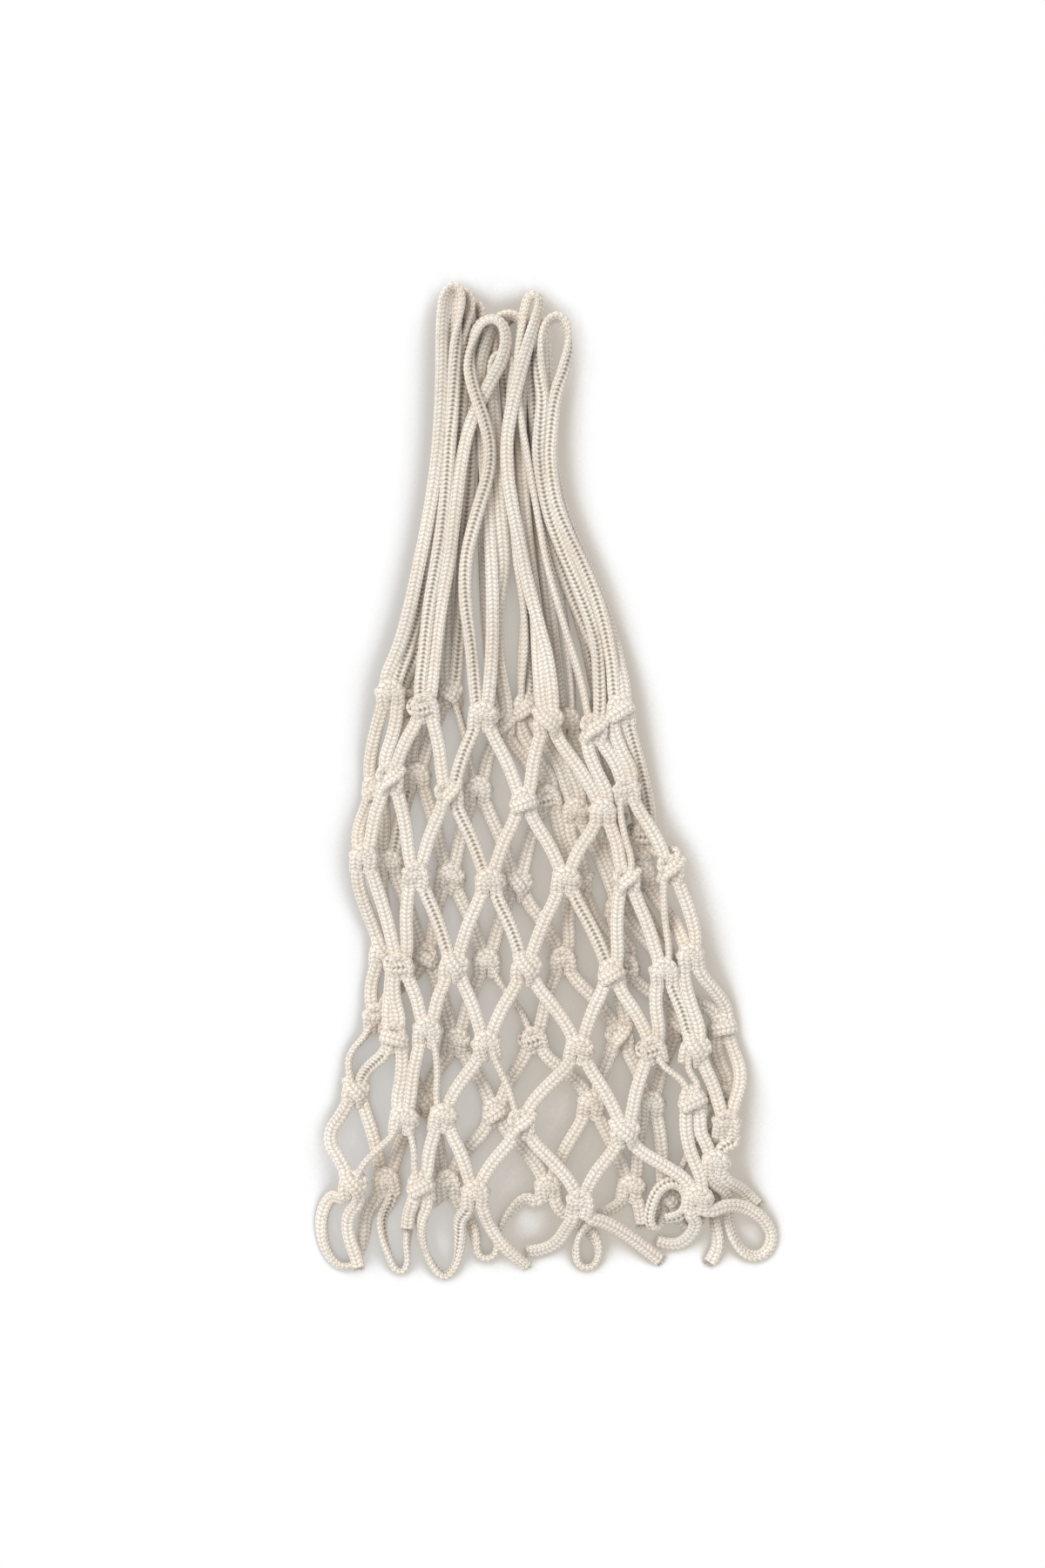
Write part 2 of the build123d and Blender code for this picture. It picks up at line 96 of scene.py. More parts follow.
# ---- Hanging loops: the two knots of each in row 1, as layer, place and side, and its
# height and route between them. A point with a third number has its own height ----
HANGING_LOOPS: list[LoopRow] = [
    ("front", 1, -1, "front", 2, -1, TOP, [
        (-68, 60.5), (-63, 79), (-58.6, 99.4), (-54.6, 119), (-50.8, 143), (-49, 167),
        (-48.4, 185), (-48.4, 200), (-48.2, 212), (-47.6, 219.6), (-45.6, 224.8), (-42.2, 225.8),
        (-39.8, 223), (-40.2, 215), (-41.6, 205), (-42.6, 191), (-43.4, 172), (-45.4, 147),
        (-47.5, 122), (-51, 99), (-54.6, 78), (-56.2, 59)]),
    ("front", 2, 1, "front", 3, -1, TOP, [
        (-51, 61), (-48.3, 83), (-44.8, 103), (-42, 127), (-39.4, 146), (-36.4, 160),
        (-32, 171.5, 11.8), (-26.2, 182.5, 11.8), (-21, 192), (-18.8, 201), (-20, 208.2),
        (-25, 211.6), (-30.6, 209.6), (-34.2, 203), (-36, 195), (-35.8, 186, 14.2),
        (-33.2, 176, 16), (-29.4, 166, 16), (-26.4, 154, 13.6), (-26.8, 141), (-32.6, 122),
        (-37.6, 102), (-38, 83), (-35, 62)]),
    ("front", 3, 1, "front", 4, -1, MIDDLE, [
        (-25.6, 56.8, 12.4), (-25.2, 78.8, 12.4), (-25.6, 98.8, 9.6), (-26.4, 112, 7.6),
        (-28, 130.8), (-29.2, 150.8), (-30.8, 170.8), (-31.2, 184), (-30, 195), (-27, 203.5),
        (-24.5, 210), (-20, 213.6), (-14.6, 213), (-11, 208.5), (-10.8, 197), (-12, 182.8),
        (-12.8, 166.8), (-11.9, 142.8), (-10.4, 118.8), (-8, 98.8), (-5.2, 76, 7.8),
        (-4.4, 54.8, 10.6)]),
    ("front", 4, 1, "front", 5, -1, TOP, [
        (0.5, 54.8), (-4.5, 73), (-9.5, 91), (-13, 109), (-16.6, 127), (-18.8, 143),
        (-18.6, 158, 14), (-16, 173, 16), (-12.8, 186, 16.6), (-9.2, 199, 16), (-6, 209, 14.6),
        (-4, 216), (-3.8, 220.6), (-6.4, 222.4), (-9.2, 220.8), (-10.6, 216), (-12.2, 207),
        (-13.8, 196), (-14.2, 185, 12.2), (-13.2, 170), (-9.6, 146.8), (-4.8, 122.8), (0, 98.8),
        (5.2, 78.8), (10.4, 60.8), (15.6, 44)]),
    ("front", 5, 1, "front", 6, -1, TOP, [
        (23.4, 46.8), (22.4, 62), (18.6, 76), (12.6, 92), (5.6, 108), (-0.6, 124), (-5, 146.8),
        (-3.4, 164), (-2.2, 175), (-3.6, 184), (-4.4, 192), (-3.4, 201), (-0.8, 208.6),
        (3.2, 212.6), (7.4, 210.6), (9.6, 204.6), (9.4, 196), (7.2, 187), (4, 178.6), (2.4, 170),
        (1.6, 160), (1, 146.8), (3, 128, 13.2), (8.8, 113, 13.6), (15.6, 99, 13.6),
        (21.6, 85, 13.4), (26.6, 69, 13), (29.6, 53.2)]),
    ("front", 6, 1, "back", 6, 1, MIDDLE, [
        (32.2, 54.8, 11), (29, 68, 8.8), (24, 82), (17.4, 98), (10.8, 112), (5, 128), (1.4, 147),
        (0.6, 166.8), (0, 182.8), (-0.6, 196), (-1, 204), (-1.4, 209), (-3.6, 212.2),
        (-6.6, 212.2), (-8.8, 209), (-8.8, 203), (-8.2, 193), (-7, 180), (-5.8, 165),
        (-4.4, 146.8), (-2.4, 128), (1, 112), (6.6, 97), (12, 82.8), (20, 64.8), (25.6, 52, 6.2)]),
    ("back", 5, 1, "back", 6, -1, LOW, [
        (10.4, 52.8, 3), (7.6, 74.8), (4.4, 98.8), (0.6, 118.8), (-2.4, 142.8), (-4.6, 166.8),
        (-7, 182), (-8.4, 195), (-8.4, 204.4), (-6.2, 208.4), (-2.6, 208.4), (-0.6, 204.6),
        (-0.4, 197), (0.2, 183), (0.4, 166.8), (0.2, 142.8), (3, 118.8), (8, 98.8), (13.6, 78.8),
        (19, 58.8, 2.5)]),
    ("back", 4, 1, "back", 5, -1, LOW, [
        (-7.2, 54.8, 3), (-9.2, 74.8), (-12, 98.8), (-14, 118.8), (-16.2, 142.8), (-18, 166.8),
        (-19.6, 184), (-19.8, 197), (-19.7, 204.5), (-19.4, 209.7), (-16.4, 212.8),
        (-12.2, 212.8), (-9.2, 209.7), (-9, 203.5), (-9.7, 195), (-9.5, 184), (-8.8, 166.8),
        (-8, 142.8), (-5.2, 118.8), (-2, 98.8), (0.8, 78.8), (3.6, 58.8, 3)]),
    ("back", 3, 1, "back", 4, -1, MIDDLE, [
        (-21, 46.8), (-23.4, 62.8), (-23.2, 78.8), (-20, 98.8), (-21.4, 118.8), (-22.4, 142.8),
        (-24.2, 163), (-25.6, 176), (-25.6, 185), (-25.2, 192), (-22.8, 194.9), (-19.2, 194.9),
        (-16.7, 192), (-17, 184), (-17.8, 174), (-18, 161), (-17.4, 142.8), (-16, 118.8),
        (-13.6, 98.8), (-10.8, 78.8), (-11, 60.8)]),
    ("back", 2, 1, "back", 3, -1, LOW, [
        (-41.2, 60.8, 3.2), (-40, 78.8), (-39, 98.8), (-37.4, 118.8, 5.2), (-35.6, 142.8, 6.8),
        (-35.2, 166.8, 6.4), (-34.8, 186, 3.8), (-35.4, 199), (-35.3, 206.8), (-32.2, 210.5),
        (-28, 210.5), (-25, 207.2), (-24.9, 199), (-25.8, 187), (-28.2, 168), (-29.2, 142.8),
        (-29.2, 118.8), (-28.8, 98.8), (-28, 78.8), (-26.6, 58.8), (-25.6, 44, 3)]),
    ("back", 1, 1, "back", 2, -1, LOW, [
        (-59, 53, 2.5), (-57.8, 66), (-56.6, 79.2), (-54.2, 98.8), (-52.2, 118.8),
        (-50.4, 142.8), (-48.4, 166.8), (-46, 186.8), (-42.8, 200), (-39.8, 209), (-37.8, 215.5),
        (-34.8, 219.2), (-31.4, 218), (-30.2, 213.4), (-32, 206.5), (-34.8, 198.5), (-37.8, 187),
        (-41, 167), (-44.2, 142.8), (-44.8, 118.8), (-45.6, 98.8), (-46.6, 78.8),
        (-47.2, 60.8, 3.2)]),
    ("front", 1, 1, "back", 1, -1, MIDDLE, [
        (-64, 60.8, 9.4), (-59.2, 78.8, 7.6), (-56.2, 98.8), (-52.8, 118.8), (-49.6, 142.8),
        (-47.2, 166.8), (-46, 188), (-44.6, 203), (-43.2, 212), (-42.4, 219), (-40.2, 223.4),
        (-36.8, 223.4), (-35, 219.4), (-36.4, 211), (-38, 201), (-38.8, 191.5), (-39.4, 180),
        (-40, 166.8), (-41, 142.8), (-43.6, 118.8), (-48, 98.8), (-52.8, 78.8), (-58.6, 61),
        (-64, 50, 7)]),
]

# ---- Bottom fringe: loops between two knots of the last row, and tails cut off short ----
BOTTOM_LOOPS: list[LoopRow] = [
    ("front", 1, -1, "back", 1, -1, LOW, [
        (-99, -189.4), (-103.4, -197), (-104, -206.4), (-101.6, -215.6), (-96.8, -222),
        (-90.4, -223), (-86, -217.6), (-84, -208.4), (-83.4, -198)]),
    ("back", 1, 1, "back", 2, -1, LOW, [
        (-76.6, -199.2), (-75.6, -209), (-73, -217), (-70.4, -223.4), (-66.4, -225.4),
        (-63.8, -220.6), (-65, -211.4), (-63, -201.4), (-56.4, -194)]),
    ("front", 2, 1, "front", 3, -1, LOW, [
        (-57.6, -199.2, 9), (-58.2, -209.2, 5), (-54.6, -219, 3), (-49.4, -226.6),
        (-45.2, -226.6), (-41.2, -220, 3), (-40, -210, 4), (-40.6, -200, 8)]),
    ("back", 2, 1, "back", 3, -1, LOW, [
        (-38.8, -196.8), (-34.8, -202.6), (-33, -209), (-32.6, -215.6), (-29.9, -218.6),
        (-26.1, -218.6), (-23.4, -215.7), (-23.2, -209.5), (-21.6, -203.4), (-17, -196.8),
        (-10.4, -190.4)]),
    ("back", 3, 1, "back", 4, -1, LOW, [
        (7.2, -198, 2.6), (13.6, -202.4), (20, -206.4), (23.4, -212.6), (23.2, -219.2),
        (20.2, -222.9), (15.8, -222.9), (13, -219.2), (13.2, -212.5, 3.2), (15.2, -206.8, 6),
        (19.2, -202, 7.6), (24.4, -197.6, 7)]),
    ("front", 5, 1, "front", 6, -1, LOW, [
        (82.4, -192.8, 12.3), (90.8, -194.8, 7.8), (98.8, -200, 6), (103.5, -208.4),
        (100.4, -216.4), (93.6, -218.4), (87.2, -213.6), (83.6, -205.2), (82.4, -196, 3.5),
        (82.2, -187, 8)]),
    ("back", 5, 1, "back", 6, -1, LOW, [
        (60.3, -201.6, 3), (63.4, -204.8), (67.8, -204.8), (70.9, -201.6), (71.2, -195),
        (70.6, -187.5, 3.2)]),
]
CUT_TAILS: list[TailRow] = [
    ("front", 1, 1, MIDDLE, [
        (-91.5, -198, 9.5), (-91.2, -208.4), (-87.6, -217.2), (-86.4, -222.4)]),
    ("front", 2, -1, MIDDLE, [(-63.6, -197.2, 9), (-64.4, -204.4)]),
    ("front", 3, 1, MIDDLE, [
        (-27.2, -202, 9.5), (-22.4, -210, 8), (-16.4, -216.4), (-9.6, -222, 4.5)]),
    ("front", 4, -1, LOW, [
        (8.4, -204.4, 9), (4.4, -211.2, 5), (-3, -215.2, 3), (-9.4, -215.6)]),
    ("front", 4, 1, LOW, [
        (25.2, -200.4, 12.4), (34.8, -206, 9), (43.6, -212.8, 5), (51.6, -219.6, 2.6)]),
    ("back", 4, 1, LOW, [(42.5, -197.6, 3), (43.4, -203)]),
    ("back", 5, -1, LOW, [
        (50.8, -203.5, 6), (47.8, -204.4, 7.8), (46, -199.6, 9.6), (47.6, -192.4, 11.3),
        (50.2, -186.4, 12.4), (55, -182.8, 12.6), (60.4, -183.6, 12.6), (64, -188.2, 12.6),
        (63.6, -194.6, 12.6), (59.4, -199, 12.2), (53.6, -199.4, 11.8)]),
    ("front", 5, -1, LOW, [
        (68.4, -201.2, 9.8), (64.4, -209.4, 6.2), (57.2, -213, 3), (50.4, -210.6)]),
    ("front", 6, 1, LOW, [(88, -186, 7), (91.8, -190, 2.8), (96, -194)]),
    ("back", 6, 1, LOW, [
        (76.6, -190.5), (76.4, -200), (78, -207.5), (78.2, -215), (74.4, -220.6)]),
]

# A mesh leg's bow at its middle: (row, layer above, place above, layer below, place below)
# -> millimetres towards +X and +Z.
LEG_BOWS: dict[tuple[int, str, int, str, int], Point] = {
    (1, "back", 4, "back", 5): (3, 0),
    (2, "back", 4, "back", 4): (-1, 0),
    (2, "back", 6, "back", 5): (-1.5, 0),
    (2, "front", 6, "front", 6): (1.5, 0),
    (2, "front", 6, "back", 6): (0, 2),
    (3, "back", 4, "back", 5): (-3, 0),
    (3, "back", 6, "back", 6): (0.7, 0),
    (3, "back", 6, "front", 6): (2, -3),
    (4, "back", 1, "front", 1): (0, 1.2),
    (5, "back", 1, "back", 1): (-5, 0),
    (5, "back", 6, "front", 6): (5, 0),
    (6, "front", 5, "front", 5): (-2.5, 0),
    (6, "front", 5, "front", 6): (-2, 0),
    (6, "front", 6, "front", 6): (2, 0),
    (6, "front", 6, "back", 6): (0.8, -2.5),
    (6, "back", 1, "front", 1): (-10, 0),
    (6, "back", 6, "back", 5): (-2, 0),
}

# The roll of each fringe cord, as shares of its length and degrees.
FRINGE_ROLLS: tuple[Rolls, ...] = (
    ((0, 0), (0.25, 30), (0.45, 70), (0.6, 90), (0.8, 40), (1, 0)),
    ((0, 180), (0.22, 120), (0.4, 90), (0.6, 90), (0.8, 60), (1, 0)),
    ((0, 0), (0.25, 60), (0.42, 90), (0.62, 100), (0.8, 150), (1, 180)),
    ((0, 0), (0.3, 50), (0.42, 85), (0.6, 95), (0.75, 60), (1, 0)),
    ((0, 0), (0.3, 40), (0.42, 85), (0.6, 95), (0.75, 40), (1, 0)),
    ((0, 0), (0.2, 20), (0.4, 70), (0.6, 90), (0.8, 60), (1, 10)),
    ((0, 0), (0.3, 70), (0.5, 90), (0.7, 90), (1, 60)),
)
TAIL_ROLLS: tuple[Rolls, ...] = (
    ((0, 0), (1, 15)), ((0, 20), (1, -10)), ((0, 0), (0.5, 20), (1, 40)), ((0, 0), (1, -15)),
    ((0, 0), (0.5, 10), (1, -10)), ((0, 0), (1, 30)),
    ((0, 0), (0.2, 60), (0.5, 60), (0.8, 70), (1, 50)), ((0, 0), (1, 10)), ((0, 0), (1, 25)),
    ((0, 20), (0.5, 60), (1, 20)),
)


class Face(Enum):
    """The side of the flat cord that lies upwards, as its roll in degrees."""

    KNIT = 0.0
    EDGE = 90.0
    LADDER = 180.0


# The face that each hanging loop shows on its first and on its second leg.
LOOP_FACES: dict[int, tuple[Face, Face]] = {
    1: (Face.KNIT, Face.LADDER), 2: (Face.KNIT, Face.LADDER), 3: (Face.KNIT, Face.KNIT),
    4: (Face.KNIT, Face.EDGE), 5: (Face.LADDER, Face.LADDER), 6: (Face.KNIT, Face.LADDER),
    7: (Face.EDGE, Face.LADDER), 8: (Face.LADDER, Face.KNIT), 9: (Face.KNIT, Face.EDGE),
    10: (Face.LADDER, Face.KNIT), 11: (Face.EDGE, Face.KNIT), 12: (Face.LADDER, Face.LADDER),
}

# Mesh legs that show the ladder side: row above, place above, place below.
LADDER_LEGS: set[tuple[int, Place, Place]] = {
    (1, ("front", 3), ("front", 2)), (2, ("front", 2), ("front", 3)),
    (3, ("front", 2), ("front", 2)), (3, ("front", 3), ("front", 3)),
    (3, ("front", 4), ("front", 4)), (4, ("front", 5), ("front", 6)),
    (5, ("front", 1), ("back", 1)), (1, ("front", 6), ("front", 6)),
    (2, ("front", 6), ("front", 6)), (6, ("front", 6), ("front", 6)),
    (2, ("back", 2), ("back", 1)), (4, ("back", 3), ("back", 4)),
}


def linear_colour(hex_code: str) -> tuple[float, float, float, float]:
    """Turn an sRGB hex colour into the linear colour that shaders take.

    Args:
        hex_code: A colour such as "#F0E8DC".

    Returns:
        Red, green, blue and an alpha of 1.
    """
    parts = [int(hex_code[i:i + 2], 16) / 255 for i in (1, 3, 5)]
    linear = [c / 12.92 if c <= 0.04045 else ((c + 0.055) / 1.055) ** 2.4 for c in parts]
    return (linear[0], linear[1], linear[2], 1.0)


def empty_tree(owner: bpy.types.Material | bpy.types.World) -> bpy.types.NodeTree:
    """Give a material or world a node tree with nothing in it.

    Args:
        owner: The new material or world.

    Returns:
        Its node tree.
    """
    owner.use_nodes = True
    owner.node_tree.nodes.clear()
    return owner.node_tree


def add_node(tree: bpy.types.NodeTree, kind: str, settings: dict[str, object] | None = None,
             inputs: dict[int | str, object] | None = None) -> bpy.types.Node:
    """Add one node with its settings, and set or link its inputs.

    Args:
        tree: The node tree of the material or world.
        kind: The node's type name.
        settings: Attributes of the node itself, such as a math operation.
        inputs: Input sockets by index or name, each a value or a socket to link from.

    Returns:
        The new node.
    """
    node = tree.nodes.new(kind)
    for name, value in (settings or {}).items():
        setattr(node, name, value)
    for name, value in (inputs or {}).items():
        if isinstance(value, bpy.types.NodeSocket):
            tree.links.new(value, node.inputs[name])
        else:
            node.inputs[name].default_value = value
    return node


@dataclass(frozen=True)
class KnittedCotton:
    """Knitted cotton cord: columns of V stitches, with a dotted ladder seam on one side.

    Soft spun yarn is matt and a little fuzzy, so it has high roughness, a faint sheen and
    no clear highlight. The stitches catch light on their crowns; shade is painted into their
    gaps, the valleys of their columns, the ladder seam and its holes, and slack stitches.
    """

    name: str = "knitted_cotton_cord"
    yarn: str = "#F6EDE4"
    warm_yarn: str = "#F2E5D9"
    # Painted shade colours: the crease shade for gaps, valleys, the seam and slack stitches, and
    # the darker hole shade for the seam's holes.
    crease_shade: str = "#AEA58D"
    hole_shade: str = "#726B57"
    roughness: float = 0.88
    stitch: float = 2.0         # millimetres along the cord
    slant: float = 0.55         # of a stitch, from a column's middle to its side
    seam_column: float = 3.0    # stitch columns round from the knit side to the ladder seam
    ply_ridges: float = 3.0     # ridges of ply across one stitch
    mottle_size: float = 22.0   # millimetres from one tint of yarn to the next
    # Spun yarn has fibres far finer than a render shows, so they are drawn this coarse.
    fibre_size: float = 0.35
    # How far each mark of painted shade darkens the yarn: towards the crease shade colour, or
    # the darker hole shade colour.
    slack_shade_share: float = 0.35
    gap_shade_share: float = 0.75
    valley_shade_share: float = 0.55
    seam_shade_share: float = 0.25
    dot_shade_share: float = 0.65
    gap_shade_width: float = 0.42     # of half a stitch
    valley_shade_width: float = 0.28  # of half a column
    # Relief in the bump: its depth in millimetres, and each mark's share of it.
    bump_depth: float = 0.35
    crown_height: float = 0.7
    ply_height: float = 0.1
    fibre_height: float = 0.25
    dot_depth: float = 0.6

    def material(self) -> bpy.types.Material:
        """Build the node material on the cord's own UV map: stitch columns by stitch rows.

        Returns:
            The finished material.
        """
        made = bpy.data.materials.new(self.name)
        tree = empty_tree(made)

        def maths(operation: str, a: object, b: object = 0.0,
                  c: object = 0.0) -> bpy.types.NodeSocket:
            """One math node's result."""
            return add_node(tree, "ShaderNodeMath", {"operation": operation},
                            {0: a, 1: b, 2: c}).outputs[0]

        def fade(value: object, start: float, end: float) -> bpy.types.NodeSocket:
            """0 at start, 1 at end, smooth between them."""
            return add_node(tree, "ShaderNodeMapRange", {"interpolation_type": "SMOOTHSTEP"},
                            {0: value, 1: start, 2: end, 3: 0.0, 4: 1.0}).outputs[0]

        def mix(share: object, a: object, b: object) -> bpy.types.NodeSocket:
            """Colour a turning to colour b."""
            return add_node(tree, "ShaderNodeMix", {"data_type": "RGBA"},
                            {0: share, 6: a, 7: b}).outputs[2]

        def noise(size: float, detail: float) -> bpy.types.NodeSocket:
            """Noise in the cord's own space, of this size in millimetres."""
            place = add_node(tree, "ShaderNodeTexCoord")
            return add_node(tree, "ShaderNodeTexNoise", None, {
                "Vector": place.outputs["Object"], "Scale": 1 / (size * MM),
                "Detail": detail}).outputs[0]

        uv = add_node(tree, "ShaderNodeUVMap", {"uv_map": "stitches"})
        axes = add_node(tree, "ShaderNodeSeparateXYZ", None, {0: uv.outputs[0]})
        column, row = axes.outputs[0], axes.outputs[1]
        across = maths("MULTIPLY", maths("ABSOLUTE", maths(
            "SUBTRACT", maths("FRACT", column), 0.5)), 2.0)
        phase = maths("FRACT", maths("MULTIPLY_ADD", across, self.slant, row))
        crown = maths("MULTIPLY", maths("ABSOLUTE", maths("SUBTRACT", phase, 0.5)), 2.0)
        # Painted shade masks: the gaps between stitches, and the valleys at each column's sides
        # and down its middle.
        gap_shade = maths("SUBTRACT", 1.0, fade(crown, 0.0, self.gap_shade_width))
        valley_dip_and_shade = maths("MAXIMUM", fade(across, 1 - self.valley_shade_width, 1.0),
                       maths("SUBTRACT", 1.0, fade(across, 0.0, self.valley_shade_width)))
        # Painted shade masks: the ladder seam, and the holes along it, which also sink in the
        # bump.
        seam_side = maths("ABSOLUTE", maths("SUBTRACT", column, self.seam_column))
        seam_dip_and_shade = maths("SUBTRACT", 1.0, fade(seam_side, 0.04, 0.22))
        shaded_hole_dots = maths("MULTIPLY", seam_dip_and_shade, maths("SUBTRACT", 1.0, fade(crown, 0.2, 0.65)))

        # Uneven tension leaves some stitches slack; painted shade darkens them, at random, part
        # way to the crease shade colour.
        slack_shade = fade(noise(self.stitch, 2.0), 0.5, 0.75)
        tint_and_shade = mix(fade(noise(self.mottle_size, 2.0), 0.38, 0.68),
                   linear_colour(self.yarn), linear_colour(self.warm_yarn))
        # Painted shade: each mark darkens the yarn part way to the crease shade colour, and the
        # seam's holes to the hole shade colour.
        for mark, share, colour in (
                (slack_shade, self.slack_shade_share, self.crease_shade), (gap_shade, self.gap_shade_share, self.crease_shade),
                (valley_dip_and_shade, self.valley_shade_share, self.crease_shade),
                (seam_dip_and_shade, self.seam_shade_share, self.crease_shade), (shaded_hole_dots, self.dot_shade_share, self.hole_shade)):
            tint_and_shade = mix(maths("MULTIPLY", mark, share), tint_and_shade, linear_colour(colour))

        ply = maths("SINE", maths("MULTIPLY", phase, self.ply_ridges * math.tau))
        height = maths("MULTIPLY", crown, self.crown_height)
        for mark, share in ((ply, self.ply_height),
                            (noise(self.fibre_size, 1.0), self.fibre_height),
                            (shaded_hole_dots, -self.dot_depth)):
            height = maths("MULTIPLY_ADD", mark, share, height)
        bump = add_node(tree, "ShaderNodeBump", None, {
            "Strength": 0.7, "Distance": self.bump_depth * MM, "Height": height})
        shader = add_node(tree, "ShaderNodeBsdfPrincipled", None, {
            "Base Color": tint_and_shade, "Roughness": self.roughness, "Normal": bump.outputs[0],
            "Specular IOR Level": 0.25, "Sheen Weight": 0.25, "Sheen Roughness": 0.5})
        add_node(tree, "ShaderNodeOutputMaterial", None, {0: shader.outputs[0]})
        return made


@dataclass(frozen=True)
class PaleFloor:
    """A plain pale sheet under the net, with grey shade painted where the cords keep the light off
    it.

    The light comes from the left, so the painted shade there is paler and less warm.
    """

    name: str = "pale_paper_floor"
    open_colour: str = "#FFFFFF"
    left_shades: tuple[str, str] = ("#CDCAC6", "#DAD8D6")    # full and half shade
    right_shades: tuple[str, str] = ("#C1B9AE", "#D3CDC5")
    turns_warm: Point = (-80.0, 10.0)   # millimetres along x, from the left to the right shades
    contact_shade_colour: str = "#9E988F"
    reach: float = 70.0         # millimetres over which nearby cords shade the floor
    # Shares of open sky: up to the contact shade, the full shade's span, half shade, and plain
    # white.
    contact_to: float = 0.12
    full_span: tuple[float, float] = (0.38, 0.6)
    half_at: float = 0.7
    open_from: float = 0.81

    def material(self) -> bpy.types.Material:
        """Build the node material.

        Returns:
            The finished material.
        """
        made = bpy.data.materials.new(self.name)
        tree = empty_tree(made)
        shade = add_node(tree, "ShaderNodeAmbientOcclusion", {"samples": 16},
                         {"Distance": self.reach * MM})
        sides = []
        for full, half in (self.left_shades, self.right_shades):
            ramp = add_node(tree, "ShaderNodeValToRGB", None, {0: shade.outputs["AO"]})
            stops = ramp.color_ramp.elements
            for stop, at, colour in ((stops[0], self.contact_to, self.contact_shade_colour),
                                     (stops[1], self.open_from, self.open_colour)):
                stop.position, stop.color = at, linear_colour(colour)
            for at, colour in ((self.full_span[0], full), (self.full_span[1], full),
                               (self.half_at, half)):
                stops.new(at).color = linear_colour(colour)
            sides.append(ramp.outputs[0])
        where = add_node(tree, "ShaderNodeTexCoord")
        axes = add_node(tree, "ShaderNodeSeparateXYZ", None, {0: where.outputs["Object"]})
        share = add_node(tree, "ShaderNodeMapRange", {"interpolation_type": "SMOOTHSTEP"}, {
            0: axes.outputs[0], 1: self.turns_warm[0] * MM, 2: self.turns_warm[1] * MM})
        shades = add_node(tree, "ShaderNodeMix", {"data_type": "RGBA"}, {
            0: share.outputs[0], 6: sides[0], 7: sides[1]})
        lit = add_node(tree, "ShaderNodeBsdfPrincipled", None, {
            "Base Color": linear_colour(self.open_colour), "Roughness": 0.9,
            "Specular IOR Level": 0.1})
        # The eye sees the white world through a thin film tinted with the painted grey shade, so
        # what folds below the floor still shows, and lamps light it.
        painted_shade_film = add_node(tree, "ShaderNodeBsdfTransparent", None, {0: shades.outputs[2]})
        seen = add_node(tree, "ShaderNodeMixShader", None, {
            0: seen_share(tree), 1: lit.outputs[0], 2: painted_shade_film.outputs[0]})
        clear = add_node(tree, "ShaderNodeBsdfTransparent")
        rays = add_node(tree, "ShaderNodeLightPath")
        floor = add_node(tree, "ShaderNodeMixShader", None, {
            0: rays.outputs["Is Shadow Ray"], 1: seen.outputs[0], 2: clear.outputs[0]})
        add_node(tree, "ShaderNodeOutputMaterial", None, {0: floor.outputs[0]})
        return made


def seen_share(tree: bpy.types.NodeTree) -> bpy.types.NodeSocket:
    """1 for the eye and for reflections, which see the floor's plain colours and its painted
    shade.

    Args:
        tree: The floor's node tree.

    Returns:
        The share of the plain colours.
    """
    rays = add_node(tree, "ShaderNodeLightPath")
    eye = add_node(tree, "ShaderNodeMath", {"operation": "MAXIMUM"}, {
        0: rays.outputs["Is Camera Ray"], 1: rays.outputs["Is Glossy Ray"]})
    return add_node(tree, "ShaderNodeMath", {"operation": "MAXIMUM"}, {
        0: eye.outputs[0], 1: rays.outputs["Is Transmission Ray"]}).outputs[0]


def nurbs_line(points: Iterable[Point]) -> np.ndarray:
    """Read the smooth line of a NURBS spline with these control points.

    Args:
        points: Control points in millimetres.

    Returns:
        The spline's own points in order, in millimetres.
    """
    control = list(points)
    data = bpy.data.curves.new("route", "CURVE")
    data.dimensions = "3D"
    data.resolution_u = 16
    spline = data.splines.new("NURBS")
    spline.points.add(len(control) - 1)
    for point, place in zip(spline.points, control):
        point.co = (place[0] * MM, place[1] * MM, place[2] * MM, 1.0)
    spline.order_u = 3
    spline.use_endpoint_u = True
    carrier = bpy.data.objects.new("route", data)
    bpy.context.collection.objects.link(carrier)
    mesh = bpy.data.meshes.new_from_object(carrier)
    line = np.array([v.co for v in mesh.vertices], float) / MM
    bpy.data.objects.remove(carrier)
    bpy.data.curves.remove(data)
    bpy.data.meshes.remove(mesh)
    return line


def even_steps(line: np.ndarray, step: float) -> np.ndarray:
    """Points at even steps along a line.

    Args:
        line: The line's points.
        step: The wished step; the real one divides the length evenly.

    Returns:
        The evenly spaced points, both ends among them.
    """
    runs = np.linalg.norm(np.diff(line, axis=0), axis=1)
    reach = np.concatenate([[0.0], np.cumsum(runs)])
    count = max(4, round(reach[-1] / step))
    wanted = np.linspace(0, reach[-1], count + 1)
    even = np.stack([np.interp(wanted, reach, line[:, i]) for i in range(3)], axis=1)
    # Each point moves a little towards its neighbours, so that no kink is left.
    even[1:-1] = (even[:-2] + 2 * even[1:-1] + even[2:]) / 4
    return even


@dataclass
class Strand:
    """One swept length of cord: its rings of points, each ring's stitch row, and its line."""

    rings: np.ndarray
    rows: np.ndarray
    line: np.ndarray
    cut_end: bool = False


